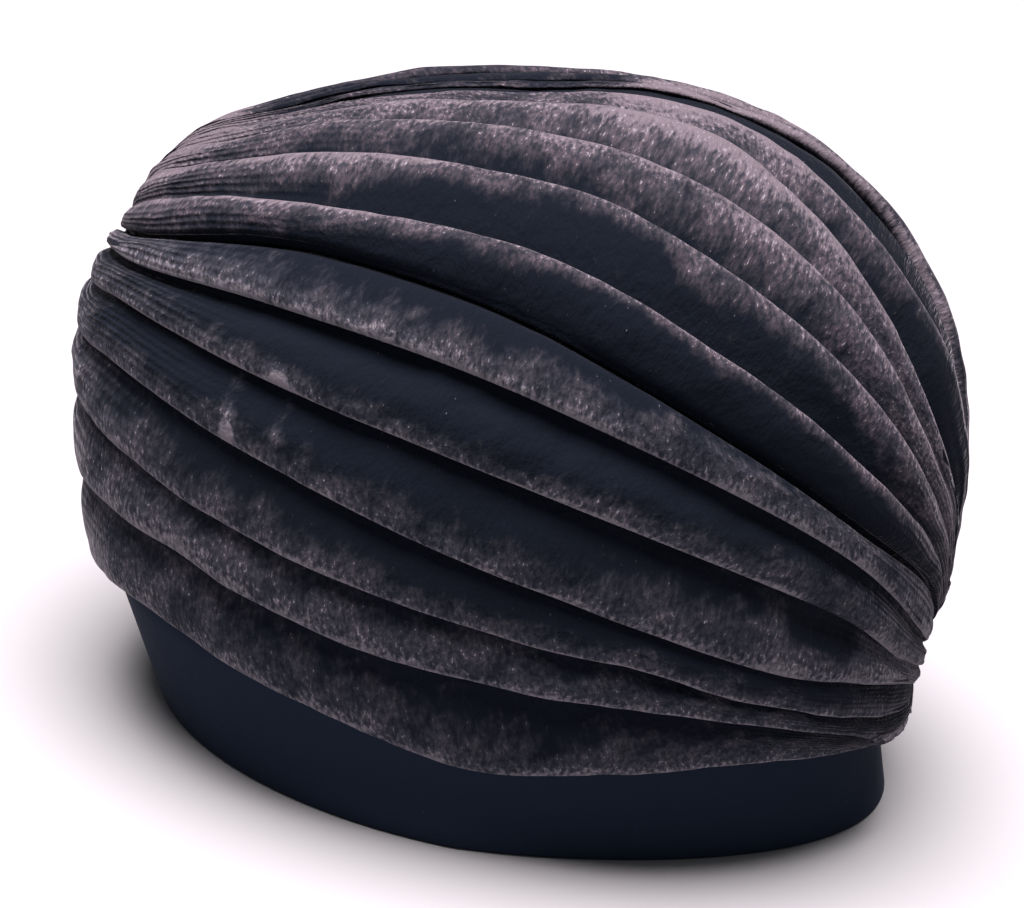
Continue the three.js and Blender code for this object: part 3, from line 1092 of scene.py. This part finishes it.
# ---- The rim band -------------------------------------------------------------------------------
@dataclass
class RimBand:
    """The plain folded band round the head.

    Its plan at a height is an egg: an ellipse whose width is less towards the front. It grows with
    height and leans inwards behind the lowest fold.

    Attributes:
        form: The cap's form.
        half_width: Reach to each side at the rim.
        front: Reach to the front at the rim.
        back: Reach to the back at the rim.
        flare: Growth of half width, front and back for each metre of height.
        egg: Share of the width lost towards the front end.
        cloth: Thickness of the folded velvet.
        steps: Samples around.
    """

    form: CapForm
    half_width: float = 78 * MM
    front: float = 103.5 * MM
    back: float = 93 * MM
    flare: tuple[float, float, float] = (0.12, -0.28, 0.48)
    egg: float = 0.12
    cloth: float = 2.2 * MM
    steps: int = 320

    def outline(self, x: np.ndarray, y: np.ndarray, height: np.ndarray, out: float) -> np.ndarray:
        """Points of the band's outer face in plan directions, at heights.

        Args:
            x: Plan direction.
            y: Plan direction, from the cap's centre.
            height: Heights above the rim.
            out: Distance outwards from the face.

        Returns:
            The points.
        """
        length = np.hypot(x, y)
        wide = self.half_width + self.flare[0] * height
        wide = wide * (1 + self.egg * np.minimum(0, y) / length)
        ahead = y < 0
        deep = np.where(ahead, self.front, self.back)
        deep = deep + np.where(ahead, self.flare[1], self.flare[2]) * height
        reach = 1 / np.hypot(x / length / wide, y / length / deep) + out
        plan = np.stack([x / length * reach, y / length * reach + self.form.centre[1]], axis=-1)
        return np.concatenate([plan, np.broadcast_to(height, x.shape)[..., None]], axis=-1)

    def beside(self, points: np.ndarray, height: np.ndarray, out: float) -> np.ndarray:
        """Points just outside the band, beside given points."""
        return self.outline(points[:, 0], points[:, 1] - self.form.centre[1], height, out)

    def seam_height(self, turn: np.ndarray) -> np.ndarray:
        """Height of the lowest fold's edge round the head, turn being 0 at the front."""
        line = self.form.points(SEAM_FOLD.line(self.form, 400), np.zeros(400))
        at = np.arctan2(-line[:, 0], -(line[:, 1] - self.form.centre[1]))
        folded = np.abs((turn + math.pi) % (2 * math.pi) - math.pi)
        return np.interp(folded, at, line[:, 2])

    def surface(self) -> np.ndarray:
        """The band, a grid whose columns run around and whose rows run round its section."""
        turn = np.linspace(0, 2 * math.pi, self.steps, endpoint=False)
        x, y = -np.sin(turn), -np.cos(turn)
        top = self.seam_height(turn) + 3 * MM
        wave = 0.8 * MM * soft_noise(turn * 9 / math.pi, turn * 0, 5) * np.sin(turn) ** 2
        rim = 0.5 * self.cloth
        outer = np.linspace(0, 1, 14)
        bend = np.linspace(0, math.pi, 9)[1:-1]
        rows = []
        for share in outer[::-1]:
            lean = 3 * MM * smooth_step(np.array(share), 0.86, 1.0)
            height = rim + (top - rim) * share
            rows.append(self.outline(x, y, height, wave * math.sin(math.pi * share) - lean))
        for angle in bend:
            height = rim * (1 - math.sin(angle)) + 0 * turn
            rows.append(self.outline(x, y, height, rim * (math.cos(angle) - 1)))
        for share in outer:
            lean = 3 * MM * smooth_step(np.array(share), 0.86, 1.0)
            height = rim + (top - rim) * share
            shift = wave * math.sin(math.pi * share) - lean - self.cloth
            rows.append(self.outline(x, y, height, shift))
        rows.append(rows[0])
        return np.stack(rows)

    def build(self, finish: bpy.types.Material) -> bpy.types.Object:
        """Make the band, dress it and set it on the body.

        Args:
            finish: Its material.

        Returns:
            The band's object.
        """
        piece = grid_object("rim_band_velvet", self.surface(), wrap=True)
        piece.data.materials.append(finish)
        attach(piece, "root")
        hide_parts("rim_band")
        return piece


# ---- The gather stitches ------------------------------------------------------------------------
@dataclass
class GatherTack:
    """The hand-sewn tack that holds the fold ends together at one gather.

    It is one thread that winds round and round the bunched cloth: a flattened helix whose turns
    drift across the gather.

    Attributes:
        form: The cap's form.
        front: Whether it is the gather at the front.
        height: Half its height.
        width: Half its width.
        depth: Half of how far it stands out and in.
        turns: Turns of the thread.
        thread: Radius of the thread.
    """

    form: CapForm
    front: bool = True
    height: float = 6.5 * MM
    width: float = 3.0 * MM
    depth: float = 3.0 * MM
    turns: int = 10
    thread: float = 0.32 * MM

    def build(self, finish: bpy.types.Material) -> bpy.types.Object:
        """Make the thread as a round tube along its helix.

        Args:
            finish: Its material.

        Returns:
            The thread's object.
        """
        tilt = self.form.gather_tilt
        ahead = np.array([0.0, -math.cos(tilt), -math.sin(tilt)]) * (1 if self.front else -1)
        upright = np.array([0.0, -math.sin(tilt), math.cos(tilt)])
        middle = self.form.points(ahead[None], np.array([0.8 * MM]))[0]
        turn = np.linspace(0, 2 * math.pi * self.turns, 48 * self.turns)
        drift = np.linspace(-1, 1, len(turn)) * self.width + 0.4 * MM * np.sin(2.3 * turn)
        rise = self.height * (1 + 0.12 * np.sin(0.9 * turn)) * np.sin(turn)
        out = self.depth * np.cos(turn)
        side = np.array([1.0, 0.0, 0.0])
        path = middle + drift[:, None] * side + rise[:, None] * upright + out[:, None] * ahead
        tangent = unit(np.gradient(path, axis=0))
        first = unit(np.cross(tangent, side))
        second = np.cross(tangent, first)
        angle = np.linspace(0, 2 * math.pi, 8, endpoint=False)
        ring = first[:, None] * np.cos(angle)[:, None] + second[:, None] * np.sin(angle)[:, None]
        radius = np.full(len(turn), self.thread)
        radius[[0, -1]] = 0
        grid = path[:, None] + ring * radius[:, None, None]
        where = "front" if self.front else "back"
        piece = grid_object(f"gather_tack_{where}", grid[:, ::-1], wrap=True)
        piece.modifiers.new("closed_ends", "WELD").merge_threshold = 0.01 * MM
        piece.data.materials.append(finish)
        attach(piece, "root")
        return piece


# ---- The studio ---------------------------------------------------------------------------------
@dataclass
class Studio:
    """A plain pale floor, soft light all round and one camera.

    Attributes:
        floor_reach: Half the floor's side.
        azimuth: The camera's place round the object, 0 in front of it and 90 at +X.
        elevation: Its height as an angle.
        roll: Its turn about its own line of sight.
        distance: From the camera to what it aims at.
        lens: Focal length for a 36 mm wide sensor, in millimetres.
    """

    floor_reach: float = 6.0
    azimuth: float = math.radians(276)
    elevation: float = math.radians(22)
    roll: float = math.radians(8.5)
    distance: float = 900 * MM
    lens: float = 121.6

    def floor(self) -> bpy.types.Object:
        """A flat pale floor just under the rim."""
        r, low = self.floor_reach, -0.1 * MM
        mesh = bpy.data.meshes.new("floor")
        corners = [(-r, -r, low), (r, -r, low), (r, r, low), (-r, r, low)]
        mesh.from_pydata(corners, [], [(0, 1, 2, 3)])
        floor = bpy.data.objects.new("floor", mesh)
        bpy.context.scene.collection.objects.link(floor)
        mesh.materials.append(PlainFinish("matt_studio_card", "#9b9b9e", 0.9).material())
        floor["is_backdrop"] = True
        return floor

    def lights(self) -> None:
        """A broad soft light from above and behind, and an even dim sky all round."""
        world = bpy.data.worlds.new("even_studio")
        world.use_nodes = True
        sky = world.node_tree.nodes["Background"]
        sky.inputs["Color"].default_value = linear("#eef1f8")
        sky.inputs["Strength"].default_value = 0.2
        bpy.context.scene.world = world
        light = bpy.data.lights.new("overhead", "SUN")
        light.energy = 11.0
        light.angle = math.radians(44)
        light.color = linear("#fff6f7")[:3]
        lamp = bpy.data.objects.new("overhead", light)
        way = Vector((0.06, -0.10, -1.0))
        lamp.matrix_world = way.to_track_quat("-Z", "Y").to_matrix().to_4x4()
        bpy.context.scene.collection.objects.link(lamp)

    def camera(self) -> bpy.types.Object:
        """Place the camera: its three axes are worked out from its angles."""
        low, high = (Vector(corner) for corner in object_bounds())
        aim = Vector((0, (low.y + high.y) / 2 + 0.5 * MM, 0.4215 * high.z))
        a, e, r = self.azimuth, self.elevation, self.roll
        back = Vector((math.sin(a) * math.cos(e), -math.cos(a) * math.cos(e), math.sin(e)))
        level = (-back).cross(Vector((0, 0, 1))).normalized()
        upright = level.cross(-back)
        right = math.cos(r) * level + math.sin(r) * upright
        above = -math.sin(r) * level + math.cos(r) * upright
        lens = bpy.data.cameras.new("camera")
        lens.lens = self.lens
        lens.sensor_width = 36
        lens.clip_start = 0.01
        camera = bpy.data.objects.new("camera", lens)
        turn = Matrix((right, above, back)).transposed().to_4x4()
        camera.matrix_world = Matrix.Translation(aim + self.distance * back) @ turn
        bpy.context.scene.collection.objects.link(camera)
        bpy.context.scene.camera = camera
        bpy.context.scene.view_settings.view_transform = "Standard"
        return camera


def main() -> None:
    """Build the turban piece by piece, then the studio round it."""
    logging.basicConfig(level=logging.INFO, format="%(message)s")
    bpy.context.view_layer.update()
    form = CapForm.from_frame()
    pleat_velvet = VelvetFinish("crushed_stretch_velvet").material()
    # The crown's copy of the velvet paints light: its brushed colours are lighter and pinker, for
    # the light that falls on the top.
    top_lit_crown_velvet = VelvetFinish(
        "top_lit_stretch_velvet", brushed="#433f46", warm="#4c444b", lip="#5e565d"
    ).material()
    band_velvet = VelvetFinish(
        "smooth_stretch_velvet", pile="#1a2230", sheen_weight=0.12, crush=0.25
    ).material()
    band = RimBand(form)
    LOG.info("built %s", band.build(band_velvet).name)
    for side in Side:
        panel = SidePanel(form, seed=11, side=side, band=band)
        LOG.info("built %s", panel.build(pleat_velvet).name)
    crown = CrownPanel(form, steps=2, seed=29)
    LOG.info("built %s", crown.build(top_lit_crown_velvet).name)
    thread = PlainFinish("spun_polyester_thread", "#14151a", 0.7).material()
    for front in (True, False):
        LOG.info("built %s", GatherTack(form, front).build(thread).name)
    studio = Studio()
    studio.floor()
    studio.lights()
    studio.camera()


if __name__ == "__main__":
    main()
